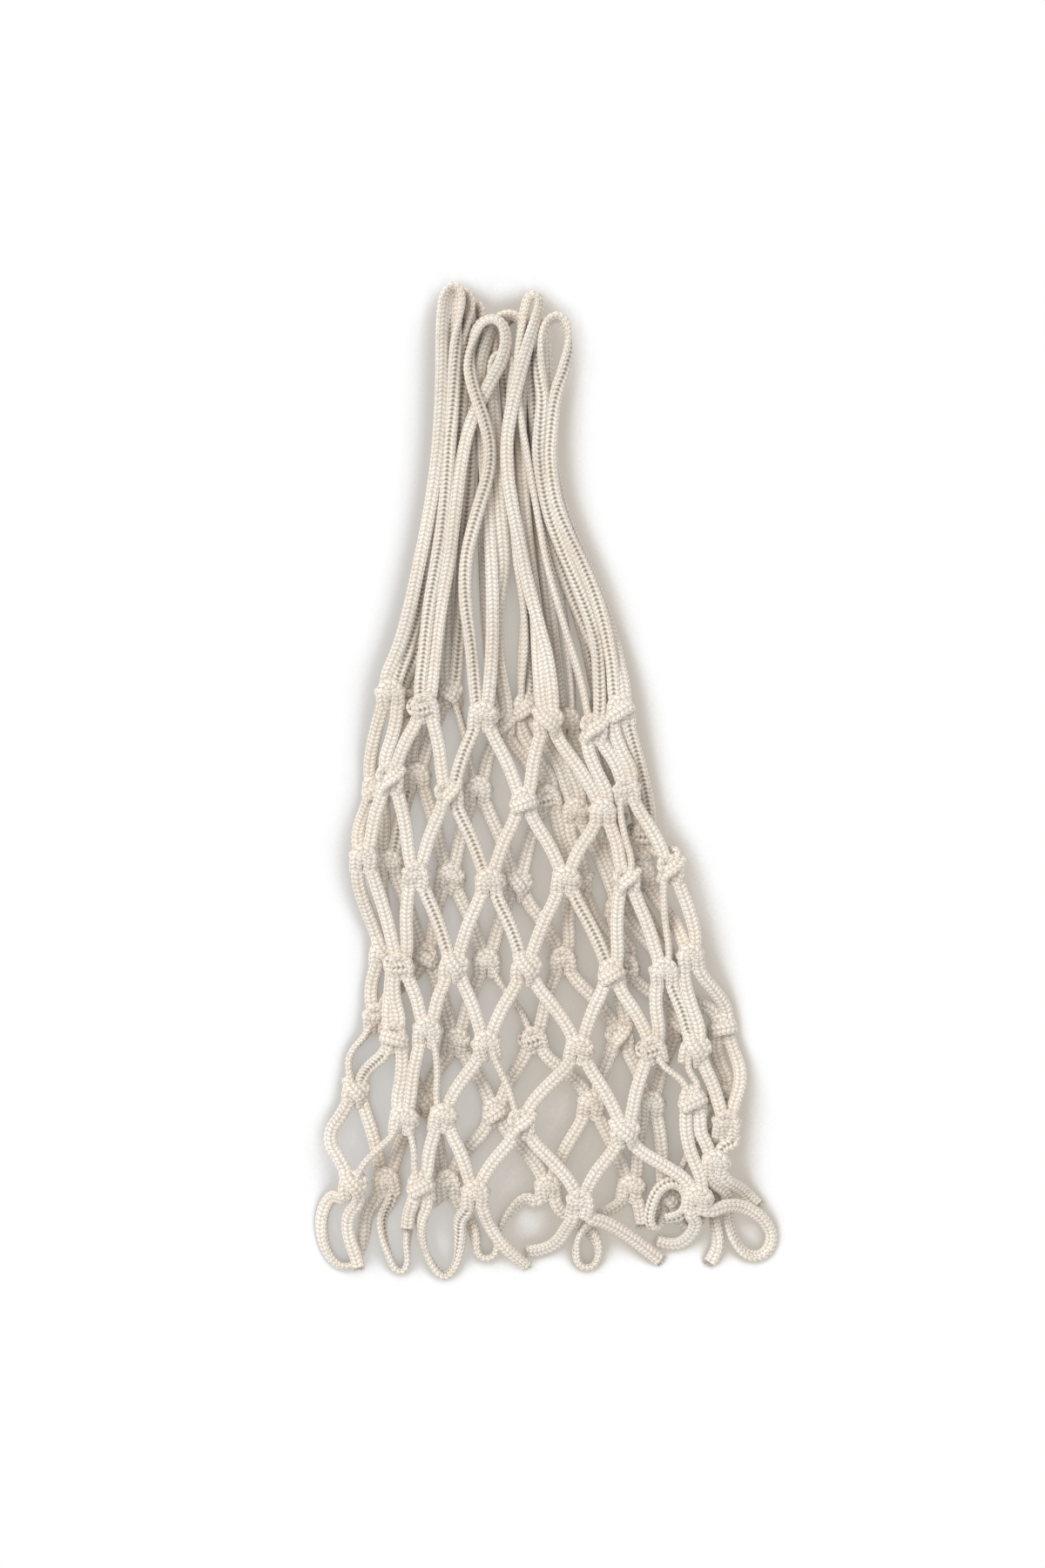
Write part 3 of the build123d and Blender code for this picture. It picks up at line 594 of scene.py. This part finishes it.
@dataclass
class FlatCord:
    """Flat knitted cord, 6.1 x 3.2 mm, with the relief of its stitches."""

    width: float = 6.1
    thick: float = 3.2
    squareness: float = 3.2     # 2 is an ellipse, more is nearer to a rounded oblong
    stitch: float = 2.0         # one V stitch along the cord
    around: int = 20            # points in one ring
    columns: int = 5            # columns of stitches round the cord
    rings_per_stitch: int = 4
    slant: float = 0.55         # of a stitch, from a column's middle to its side
    relief: float = 0.12        # a stitch's crown above its gap, halved
    valley_dip_and_shade: float = 0.12        # between two columns of stitches
    valley_from: float = 0.9    # of half a column, from its middle
    groove: float = 1.4         # valleys deep, down the middle of the knit side
    seam_dip_and_shade: float = 0.32          # the ladder seam's depth
    floor_gap: float = 0.05     # under the lowest cord

    def sweep(self, line: np.ndarray, rolls: Sequence[tuple[float, float]],
              up: Point = (0.0, 0.0, 1.0)) -> Strand:
        """Sweep the cord's section along a line, and lift what would sink into the floor.

        Args:
            line: Points of the cord's centre line.
            rolls: Share of the length and roll in degrees, in order.
            up: The way that the knit side faces at the start, before its roll.

        Returns:
            The swept strand.
        """
        line = even_steps(line, self.stitch / self.rings_per_stitch)
        count = len(line)
        # The section's up keeps its direction as nearly as the line allows, and is then rolled.
        ahead = np.gradient(line, axis=0)
        ahead /= np.linalg.norm(ahead, axis=1)[:, None]
        raised = np.empty((count, 3))
        now = np.array(up, float)
        for i, forward in enumerate(ahead):
            now = now - forward * (now @ forward)
            size = math.sqrt(now @ now)
            now = now / size if size > 1e-6 else np.array((0.0, 1.0, 0.0))
            raised[i] = now
        beside = np.cross(ahead, raised)
        shares = np.linspace(0, 1, count)
        roll = np.radians(np.interp(shares, [r[0] for r in rolls], [r[1] for r in rolls]))
        cos, sin = np.cos(roll)[:, None], np.sin(roll)[:, None]
        top = raised * cos + beside * sin
        side = beside * cos - raised * sin

        angle = np.arange(self.around) * math.tau / self.around
        power = 2 / self.squareness
        x = np.sign(np.sin(angle)) * np.abs(np.sin(angle)) ** power * self.width / 2
        y = np.sign(np.cos(angle)) * np.abs(np.cos(angle)) ** power * self.thick / 2
        nx, ny = x / (self.width / 2) ** 2, y / (self.thick / 2) ** 2
        size = np.hypot(nx, ny)
        nx, ny = nx / size, ny / size
        column = (angle / math.tau * self.columns + 0.5) % 1.0
        across = np.abs(column - 0.5) * 2
        rows = np.arange(count) / self.rings_per_stitch
        wave = np.cos(math.tau * (rows[:, None] + self.slant * across[None, :]))
        lift = self.relief * wave - self.valley_dip_and_shade * (across > self.valley_from)[None, :]
        lift[:, 0] -= self.valley_dip_and_shade * self.groove
        lift[:, self.around // 2] -= self.seam_dip_and_shade * (0.5 - 0.5 * wave[:, self.around // 2])
        px, py = x[None, :] + nx * lift, y[None, :] + ny * lift
        rings = (line[:, None, :] + px[:, :, None] * side[:, None, :]
                 + py[:, :, None] * top[:, None, :])
        sunk = np.maximum(0.0, self.floor_gap - rings[:, :, 2].min(axis=1))
        rings[:, :, 2] += sunk[:, None]
        return Strand(rings, rows, line)


@dataclass(frozen=True)
class FrayedTuft:
    """Loose fibres that stand out of a cut end, as thin three-sided spikes."""

    fibres: int = 46
    rooted_at: tuple[float, float] = (0.2, 0.95)    # of the way from the middle to the rim
    stray: float = 0.45         # how far a fibre turns off the cord's line
    outwards: float = 0.12      # and how much more, for each millimetre off the middle
    reach: tuple[float, float] = (0.8, 2.3)
    thick: tuple[float, float] = (0.14, 0.26)
    root: float = 0.6           # millimetres of fibre inside the cord

    def spikes(self, strand: Strand, cord: FlatCord, base: int
               ) -> tuple[np.ndarray, list[list[int]]]:
        """Place the fibres at a strand's last ring.

        Args:
            strand: The strand whose last ring is cut.
            cord: The cord that it is made of.
            base: The index of the first new point in the mesh.

        Returns:
            The fibres' points and faces.
        """
        dice = random.Random(round(float(strand.line[-1][0]) * 100))
        tip, before = strand.line[-1], strand.line[-4]
        forward = (tip - before) / np.linalg.norm(tip - before)
        side = np.cross(forward, (0.1, 0.2, 1.0))
        side /= np.linalg.norm(side)
        other = np.cross(forward, side)
        corners = [side * math.cos(turn) + other * math.sin(turn)
                   for turn in (i * math.tau / 3 for i in range(3))]
        ring = list(strand.rings[-1])
        points, faces = [], []
        for _ in range(self.fibres):
            rim, share = dice.choice(ring), dice.uniform(*self.rooted_at)
            spot = rim * share + tip * (1 - share)
            away = (np.array([dice.uniform(-self.stray, self.stray) for _ in range(3)])
                    + (spot - tip) * self.outwards)
            point = spot + (forward + away) * dice.uniform(*self.reach)
            point[2] = max(point[2], cord.floor_gap)
            wide = dice.uniform(*self.thick)
            start = base + len(points)
            points += [spot - forward * self.root + corner * wide for corner in corners]
            points.append(point)
            faces += [[start, start + 1, start + 3], [start + 1, start + 2, start + 3],
                      [start + 2, start, start + 3]]
        return np.array(points), faces


# Where the stitch pattern colours a cord's closed ends and its loose fibres.
CAP_UV = (0.5, 0.25)
FIBRE_UV = (0.5, 0.0)


def build_mesh(name: str, strands: Sequence[Strand], cord: FlatCord,
               material: bpy.types.Material) -> bpy.types.Object:
    """Join strands in one mesh with closed ends and a UV map of stitches.

    Args:
        name: The new object's name.
        strands: The swept lengths of cord.
        cord: The cord that they are made of.
        material: Its material.

    Returns:
        The new object, at the origin.
    """
    around = cord.around
    points: list[np.ndarray] = []
    faces: list[list[int]] = []
    uvs: list[np.ndarray] = []
    base = 0
    for strand in strands:
        count = len(strand.rings)
        points += [strand.rings.reshape(-1, 3), strand.rings[0].mean(axis=0)[None],
                   strand.rings[-1].mean(axis=0)[None]]
        k, j = np.meshgrid(np.arange(count - 1), np.arange(around), indexing="ij")
        k, j = k.ravel(), j.ravel()
        right = (j + 1) % around
        quads = np.stack([k * around + j, k * around + right,
                          (k + 1) * around + right, (k + 1) * around + j], axis=1) + base
        faces += quads.tolist()
        u = j / around * cord.columns + 0.5
        step = cord.columns / around
        lower, upper = strand.rows[k], strand.rows[k + 1]
        uvs.append(np.stack([u, lower, u + step, lower, u + step, upper, u, upper],
                            axis=1).ravel())
        first, last = base + count * around, base + count * around + 1
        end = base + (count - 1) * around
        for i in range(around):
            after = (i + 1) % around
            faces.append([first, base + after, base + i])
            faces.append([last, end + i, end + after])
            uvs.append(np.tile(CAP_UV, 6))
        base += count * around + 2
        if strand.cut_end:
            tuft, tuft_faces = FrayedTuft().spikes(strand, cord, base)
            points.append(tuft)
            faces += tuft_faces
            uvs.append(np.tile(FIBRE_UV, 3 * len(tuft_faces)))
            base += len(tuft)
    mesh = bpy.data.meshes.new(name)
    mesh.from_pydata((np.concatenate(points) * MM).tolist(), [], faces)
    layer = mesh.uv_layers.new(name="stitches")
    layer.data.foreach_set("uv", np.concatenate(uvs))
    mesh.shade_smooth()
    mesh.materials.append(material)
    made = bpy.data.objects.new(name, mesh)
    bpy.context.collection.objects.link(made)
    return made


def knot_place(row: int, layer: str, place: int) -> np.ndarray:
    """The middle of a knot."""
    x, y = KNOTS[row][layer][place - 1]
    z = KNOT_Z["back"] if (row, layer, place) in TUCKED else KNOT_Z[layer]
    return np.array((x, y, z), float)


def beside_knot(knot: np.ndarray, side: int, by: Point) -> Point:
    """A point off a knot's middle: sideways to its side, and along y and z."""
    return (knot[0] + side * by[0], knot[1] + by[1], knot[2] + by[2])


def at_height(points: Route, z: float) -> Route:
    """A route's points, each at its own height or else at z."""
    return [(p[0], p[1], p[2] if len(p) > 2 else z) for p in points]


def knots_body(row: int) -> str:
    """The body that a row's knots ride on."""
    return "hanging_loops" if row == 1 else f"mesh_round_{row - 1}"


@dataclass(frozen=True)
class Turn:
    """One turn of cord in a knot: its route about the knot's middle, and its rolls."""

    route: Route
    up: Point
    rolls: Rolls


class KnotShape(Enum):
    """The ways that a netting knot has pulled tight, as the turns of cord that show."""

    CAPPED = (
        Turn([(-3.5, -7.8, -1.4), (-3.8, -3.6, 1.2), (-3.8, 1.0, 3.0), (-1.9, 4.3, 3.3),
              (1.9, 4.3, 3.3), (3.8, 1.0, 3.0), (3.8, -3.6, 1.2), (3.5, -7.8, -1.4)],
             (0, 0, 1), ((0, 0), (0.35, -18), (0.5, -26), (0.65, -18), (1, 0))),
        Turn([(1.5, 1.0, -2.6), (-3.0, 0.8, -2.8), (-5.8, 0.4, -1.6), (-5.5, -0.4, 1.2),
              (-2.0, -0.4, 2.5), (2.0, -0.8, 2.5), (5.5, -1.0, 1.2), (5.8, 0.0, -1.6),
              (3.0, 1.2, -2.8), (-1.5, 1.0, -2.6)],
             (0, 0, -1), ((0, 0), (1, 0))),
    )
    DIAGONAL = (
        Turn([(-4.2, 7.0, -0.4), (-3.9, 4.2, 2.0), (-1.6, 1.2, 3.6), (1.6, -1.6, 3.6),
              (3.6, -4.4, 1.6), (3.6, -7.8, -1.4)],
             (0, 0, 1), ((0, 0), (0.5, 10), (1, 0))),
        Turn([(-3.5, -7.8, -1.4), (-4.2, -3.6, 0.8), (-4.2, 0.6, 1.6), (-1.3, 4.2, 1.0),
              (2.6, 4.6, 0.8), (5.2, 2.2, 1.4), (4.3, -0.3, 1.8), (1.0, -1.0, 1.2),
              (-2.4, -0.6, -0.8)],
             (0, 0, 1), ((0, 0), (0.4, -22), (0.7, -34), (1, -20))),
    )
    COLLARED = (
        Turn([(-3.5, -7.6, -1.2), (-3.7, -2.6, -0.4), (-3.4, 2.4, 0.8), (-1.7, 5.4, 1.4),
              (1.7, 5.4, 1.4), (3.4, 2.4, 0.8), (3.7, -2.6, -0.4), (3.5, -7.6, -1.2)],
             (0, 0, 1), ((0, 0), (0.35, -22), (0.5, -32), (0.65, -22), (1, 0))),
        Turn([(2.0, -0.8, -2.8), (-3.0, -1.4, -2.8), (-5.8, -2.2, -1.4), (-5.2, -2.2, 2.0),
              (-2.0, -1.0, 3.6), (2.0, 0.6, 3.6), (5.2, 1.8, 2.0), (5.8, 1.8, -1.4),
              (3.0, 1.8, -2.8), (-2.0, 1.2, -2.8)],
             (0, 0, -1), ((0, 0), (1, 0))),
    )
    EARED = (
        Turn([(-3.5, -7.8, -1.4), (-3.9, -3.0, 1.2), (-3.6, 1.8, 2.8), (-0.9, 4.4, 3.2),
              (2.8, 3.8, 3.0), (3.8, 0.4, 2.4), (3.4, -3.6, 1.0), (3.5, -7.8, -1.4)],
             (0, 0, 1), ((0, 0), (0.35, -18), (0.5, -26), (0.65, -18), (1, 0))),
        Turn([(-4.6, 1.8, -2.2), (-5.6, 0.4, 0.6), (-2.0, -0.5, 2.4), (2.4, -1.2, 2.6),
              (6.4, -1.0, 2.0), (6.8, 2.4, 0.4), (3.6, 4.4, -1.2), (0.0, 2.4, -2.4)],
             (-1, 0, -1), ((0, 0), (0.6, -20), (1, -10))),
    )


@dataclass
class Knots:
    """The rows of netting knots, each made of the turns of cord that show in it."""

    cord: FlatCord = field(default_factory=FlatCord)
    lean: float = 13.0          # degrees that a knot may lean to either side
    size: float = 0.88          # how tight the knots are pulled, against their drawn turns
    size_spread: float = 0.06
    mirrored_share: float = 0.4     # of the knots are tied the other way round
    order: tuple[KnotShape, ...] = (
        KnotShape.CAPPED, KnotShape.DIAGONAL, KnotShape.EARED, KnotShape.CAPPED,
        KnotShape.COLLARED, KnotShape.DIAGONAL, KnotShape.EARED)

    def __post_init__(self) -> None:
        """Read each shape's lines once."""
        self.lines = {shape: [nurbs_line(turn.route) for turn in shape.value]
                      for shape in KnotShape}

    def knot(self, shape: KnotShape, middle: np.ndarray, lean: float, size: float,
             mirrored: bool) -> list[Strand]:
        """Place one knot.

        Args:
            shape: How it has pulled tight.
            middle: Its middle, in millimetres.
            lean: Its turn in the plane of the net, in degrees.
            size: Its size against the drawn one.
            mirrored: Whether it is tied the other way round.

        Returns:
            Its turns of cord.
        """
        angle = math.radians(lean)
        turn_to = np.array(((math.cos(angle), math.sin(angle), 0),
                            (-math.sin(angle), math.cos(angle), 0), (0, 0, 1)))
        flip = np.array((-1.0 if mirrored else 1.0, 1.0, 1.0))
        strands = []
        for turn, line in zip(shape.value, self.lines[shape]):
            placed = (line * flip * size) @ turn_to + middle
            strands.append(self.cord.sweep(placed, turn.rolls, up=turn.up))
        return strands

    def build(self, material: bpy.types.Material) -> list[bpy.types.Object]:
        """Build every row's knots, one piece for each row and layer.

        Args:
            material: The cord's material.

        Returns:
            The pieces.
        """
        pieces = []
        for row, layers in KNOTS.items():
            for layer, places in layers.items():
                dice = random.Random(f"{row} {layer}")
                strands: list[Strand] = []
                for place in range(1, len(places) + 1):
                    # Steps of two and three through the order keep neighbours different.
                    shape = self.order[(row * 2 + place * 3 + len(layer)) % len(self.order)]
                    strands += self.knot(
                        shape, knot_place(row, layer, place),
                        dice.uniform(-self.lean, self.lean),
                        self.size + dice.uniform(-self.size_spread, self.size_spread),
                        dice.random() < self.mirrored_share)
                piece = build_mesh(f"cord_knots_{row}_{layer}", strands, self.cord, material)
                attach(piece, knots_body(row))
                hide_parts(f"knots_row_{row}_{layer}")
                pieces.append(piece)
        return pieces


@dataclass
class HangingLoops:
    """The twelve long loops that hang on the hoop's hooks, each a free length of cord."""

    cord: FlatCord = field(default_factory=FlatCord)
    inside: Point = (1.5, 0.0, 0.0)     # where a leg ends, off its knot's middle
    entry: Point = (2.8, 6.0, 0.0)      # where it enters the knot
    # Each loop's length, with its ends inside the knots.
    lengths: tuple[float, ...] = (390.0, 367.0, 381.0, 404.0, 378.0, 375.0, 365.0, 374.0,
                                  338.0, 363.0, 372.0, 384.0)
    tip_tilt: float = 32.0      # degrees short of upright, as a loop turns at its tip
    turning: float = 0.4        # of the way on to its edge, before the tip and after it
    leans: tuple[float, ...] = (18, -24, 20, -18, 26, 22, -20, 16, -26, 20, -18, 24)

    def route(self, number: int) -> Route:
        """A loop's control points from inside one knot to inside the other.

        Args:
            number: The loop's number, from 1.

        Returns:
            The points in order, in millimetres.
        """
        layer_a, a, side_a, layer_b, b, side_b, z, between = HANGING_LOOPS[number - 1]
        knot_a, knot_b = knot_place(1, layer_a, a), knot_place(1, layer_b, b)
        return [beside_knot(knot_a, side_a, self.inside),
                beside_knot(knot_a, side_a, self.entry), *at_height(between, z),
                beside_knot(knot_b, side_b, self.entry),
                beside_knot(knot_b, side_b, self.inside)]

    def rolls(self, number: int) -> list[tuple[float, float]]:
        """A loop's rolls: its faces near the knots, and on edge round its tip.

        Args:
            number: The loop's number, from 1.

        Returns:
            Shares of its length, each with a roll in degrees.
        """
        first, second = (face.value for face in LOOP_FACES[number])
        edge = Face.EDGE.value
        lean = self.leans[number - 1]
        return [(0, first), (0.1, first + lean), (0.2, first - lean), (0.33, first + lean),
                (0.44, first + self.turning * (edge - first)), (0.49, edge - self.tip_tilt),
                (0.52, edge - self.tip_tilt), (0.57, second + self.turning * (edge - second)),
                (0.68, second + lean), (0.8, second - lean), (0.92, second + lean),
                (1, second)]

    def build(self, material: bpy.types.Material) -> list[bpy.types.Object]:
        """Build the loops.

        Args:
            material: The cord's material.

        Returns:
            The pieces.
        """
        pieces = []
        for number in range(1, len(HANGING_LOOPS) + 1):
            strand = self.cord.sweep(nurbs_line(self.route(number)), self.rolls(number))
            piece = build_mesh(f"long_loop_{number:02d}", [strand], self.cord, material)
            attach(piece, "hanging_loops")
            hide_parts(f"hanging_loop_{number:02d}")
            pieces.append(piece)
        return pieces


@dataclass
class MeshLegs:
    """The legs between two rows of knots."""

    cord: FlatCord = field(default_factory=FlatCord)
    start: Point = (2.2, -1.0, -0.4)    # inside the upper knot, off its middle
    below: Point = (3.7, -7.0, -0.4)    # just below it
    above: Point = (3.1, 7.4, 0.2)      # just above the lower knot
    end: Point = (1.4, 1.5, 0.4)        # inside it
    bow: float = 1.0            # how far a leg bows outwards at its middle
    twist: float = 22.0         # degrees that a leg may turn about its own line
    edge_share: float = 0.1     # of the legs lie on edge
    fold_length: float = 15.0   # millimetres at most, of each leg
    fold_above: float = 4.0     # millimetres at least, above the lower knots

    @staticmethod
    def feet(row: int, layer: str, place: int) -> list[Place]:
        """The two knots below that a knot's legs run to.

        Args:
            row: The knot's row, from 1 at the top.
            layer: Its layer, front or back.
            place: Its place in the row, from 1 at the left.

        Returns:
            The layer and place of each knot in the row below.
        """
        last = len(KNOTS[row][layer])
        if row % 2:
            if layer == "front":
                return [("front", place - 1) if place > 1 else ("back", 1), ("front", place)]
            return [("back", place), ("back", place + 1) if place < last else ("front", last)]
        if layer == "front":
            return [("front", place), ("front", place + 1) if place < last else ("back", last)]
        return [("back", place - 1) if place > 1 else ("front", 1), ("back", place)]

    def legs(self, row: int) -> list[tuple[Place, Place]]:
        """Every leg of the round under a row: the knot above and the knot below."""
        return [((layer, place), foot) for layer in ("front", "back")
                for place in range(1, len(KNOTS[row][layer]) + 1)
                for foot in self.feet(row, layer, place)]

    @staticmethod
    def side(leg: tuple[Place, Place], legs: list[tuple[Place, Place]], end: int,
             row: int) -> int:
        """Tell on which side of a knot a leg leaves it, by where its other end lies.

        Args:
            leg: The leg, as the knot above and the knot below.
            legs: Every leg of its round.
            end: 0 for its side of the knot above, 1 for the knot below.
            row: The row above.

        Returns:
            -1 for the left or 1 for the right.
        """
        pair = [other for other in legs if other[end] == leg[end]]
        far_row = row + 1 if end == 0 else row
        across = [KNOTS[far_row][other[1 - end][0]][other[1 - end][1] - 1][0]
                  for other in pair]
        return -1 if across[pair.index(leg)] == min(across) else 1

    def route(self, row: int, leg: tuple[Place, Place],
              legs: list[tuple[Place, Place]]) -> Route:
        """A leg's control points from inside the upper knot to inside the lower one.

        Args:
            row: The row above.
            leg: The leg, as the knot above and the knot below.
            legs: Every leg of its round.

        Returns:
            The points in order, in millimetres.
        """
        upper, lower = leg
        top, foot = knot_place(row, *upper), knot_place(row + 1, *lower)
        side_a, side_b = self.side(leg, legs, 0, row), self.side(leg, legs, 1, row)
        bow_x, bow_z = LEG_BOWS.get((row, *upper, *lower), (side_a * self.bow, 0))
        leaving = beside_knot(top, side_a, self.below)
        landing = beside_knot(foot, side_b, self.above)
        middle = ((leaving[0] + landing[0]) / 2 + bow_x, (leaving[1] + landing[1]) / 2,
                  (leaving[2] + landing[2]) / 2 + bow_z)
        return [beside_knot(top, side_a, self.start), leaving, middle, landing,
                beside_knot(foot, side_b, self.end)]

    def build(self, material: bpy.types.Material) -> list[bpy.types.Object]:
        """Build the legs, one piece for each round and layer.

        Args:
            material: The cord's material.

        Returns:
            The pieces.
        """
        pieces = []
        for row in range(1, LAST_ROW):
            legs = self.legs(row)
            for layer in ("front", "back"):
                dice = random.Random(f"legs {row} {layer}")
                strands = []
                for leg in (one for one in legs if one[0][0] == layer):
                    edge = dice.random() < self.edge_share
                    face = (Face.LADDER if (row, *leg) in LADDER_LEGS
                            else Face.EDGE if edge else Face.KNIT).value
                    turn = dice.uniform(-self.twist, self.twist)
                    line = nurbs_line(self.route(row, leg, legs))
                    strands.append(self.cord.sweep(
                        line, [(0, face - turn), (0.5, face), (1, face + turn)]))
                piece = build_mesh(f"net_legs_{row}_{layer}", strands, self.cord, material)
                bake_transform(piece)
                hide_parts(f"mesh_legs_{row}_{layer}")
                pieces.append(piece)
        return pieces


@dataclass
class BottomFringe:
    """Loops and cut tails under the last row of knots, each a free length of cord."""

    cord: FlatCord = field(default_factory=FlatCord)
    start: Point = (2.0, -1.0, -0.3)    # inside the knot, off its middle
    below: Point = (3.6, -7.4, -0.3)    # just below it
    fold_end: float = -205.0    # a y in millimetres, below the last row of knots
    # Each cord's length, with its ends inside the knots. A tail shorter than six widths of the
    # cord is part of its knot.
    loop_lengths: tuple[float, ...] = (98.0, 90.0, 95.0, 88.0, 100.0, 112.0, 50.0)
    tail_lengths: tuple[float, ...] = (41.0, 23.0, 44.0, 40.0, 48.0, 18.0, 67.0, 38.5, 32.0,
                                       47.5)
    shortest: float = 35.0

    def exit(self, layer: str, place: int, side: int) -> Route:
        """A cord's first two control points, inside its knot and just below it."""
        knot = knot_place(LAST_ROW, layer, place)
        return [beside_knot(knot, side, self.start), beside_knot(knot, side, self.below)]

    def finish(self, piece: bpy.types.Object, node: str) -> bpy.types.Object:
        """Args:
            piece: The cord's mesh.
            node: The CAD node that it replaces.

        Returns:
            The piece.
        """
        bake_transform(piece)
        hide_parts(node)
        return piece

    def build(self, material: bpy.types.Material) -> list[bpy.types.Object]:
        """Build the fringe.

        Args:
            material: The cord's material.

        Returns:
            The pieces.
        """
        pieces = []
        for number, (layer_a, a, side_a, layer_b, b, side_b, z, between) in enumerate(
                BOTTOM_LOOPS, 1):
            route = [*self.exit(layer_a, a, side_a), *at_height(between, z),
                     *reversed(self.exit(layer_b, b, side_b))]
            strand = self.cord.sweep(nurbs_line(route), FRINGE_ROLLS[number - 1])
            piece = build_mesh(f"fringe_loop_{number}", [strand], self.cord, material)
            pieces.append(self.finish(piece, f"bottom_loop_{number}"))
        for number, (layer, place, side, z, between) in enumerate(CUT_TAILS, 1):
            route = [*self.exit(layer, place, side), *at_height(between, z)]
            strand = self.cord.sweep(nurbs_line(route), TAIL_ROLLS[number - 1])
            strand.cut_end = True
            piece = build_mesh(f"fringe_tail_{number:02d}", [strand], self.cord, material)
            pieces.append(self.finish(piece, f"cut_tail_{number:02d}"))
        return pieces


@dataclass
class Studio:
    """A pale floor, soft light from the upper left, and a camera straight above."""

    view_height: float = 720.0  # millimetres of the floor from top to bottom of the frame
    view_centre: Point = (-11.6, -1.2)
    distance: float = 2000.0
    sensor: float = 36.0
    floor_size: float = 6.0     # metres
    key_strength: float = 1.75
    key_softness: float = 32.0  # degrees across the lamp
    key_turn: Point = (-24.0, -36.0)    # degrees about x and y
    key_colour: Point = (1.0, 0.985, 0.96)
    sky_colour: str = "#F6F8FB"
    ambient: float = 0.8

    def build(self) -> None:
        """Make the floor, the camera and the light."""
        bpy.ops.object.select_all(action="DESELECT")
        bpy.ops.mesh.primitive_plane_add(size=self.floor_size, location=(0, 0, 0))
        floor = bpy.context.object
        floor.name = "floor"
        floor.data.materials.append(PaleFloor().material())

        lens = bpy.data.cameras.new("camera")
        lens.sensor_width = self.sensor
        lens.lens = self.sensor * self.distance / self.view_height
        camera = bpy.data.objects.new("camera", lens)
        camera.location = (self.view_centre[0] * MM, self.view_centre[1] * MM,
                           self.distance * MM)
        bpy.context.collection.objects.link(camera)
        bpy.context.scene.camera = camera

        lamp = bpy.data.lights.new("key", "SUN")
        lamp.energy = self.key_strength
        lamp.angle = math.radians(self.key_softness)
        lamp.color = self.key_colour
        key = bpy.data.objects.new("key", lamp)
        key.rotation_euler = (math.radians(self.key_turn[0]), math.radians(self.key_turn[1]), 0)
        bpy.context.collection.objects.link(key)

        world = bpy.data.worlds.new("studio")
        tree = empty_tree(world)
        sky = add_node(tree, "ShaderNodeBackground", None, {
            0: linear_colour(self.sky_colour), 1: self.ambient})
        white = add_node(tree, "ShaderNodeBackground", None, {
            0: (1.0, 1.0, 1.0, 1.0), 1: 1.0})
        rays = add_node(tree, "ShaderNodeLightPath")
        seen = add_node(tree, "ShaderNodeMixShader", None, {
            0: rays.outputs["Is Camera Ray"], 1: sky.outputs[0], 2: white.outputs[0]})
        add_node(tree, "ShaderNodeOutputWorld", None, {0: seen.outputs[0]})
        bpy.context.scene.world = world
        bpy.context.scene.view_settings.view_transform = "Standard"


def main() -> None:
    """Build the studio and every part of the net, and report each piece."""
    logging.basicConfig(level=logging.INFO, format="%(name)s: %(message)s")
    bpy.ops.object.select_all(action="DESELECT")
    Studio().build()
    cotton = KnittedCotton().material()
    for part in (HangingLoops(), Knots(), MeshLegs(), BottomFringe()):
        for piece in part.build(cotton):
            LOG.info("%s %s: %d faces", type(part).__name__, piece.name,
                     len(piece.data.polygons))


if __name__ == "__main__":
    main()
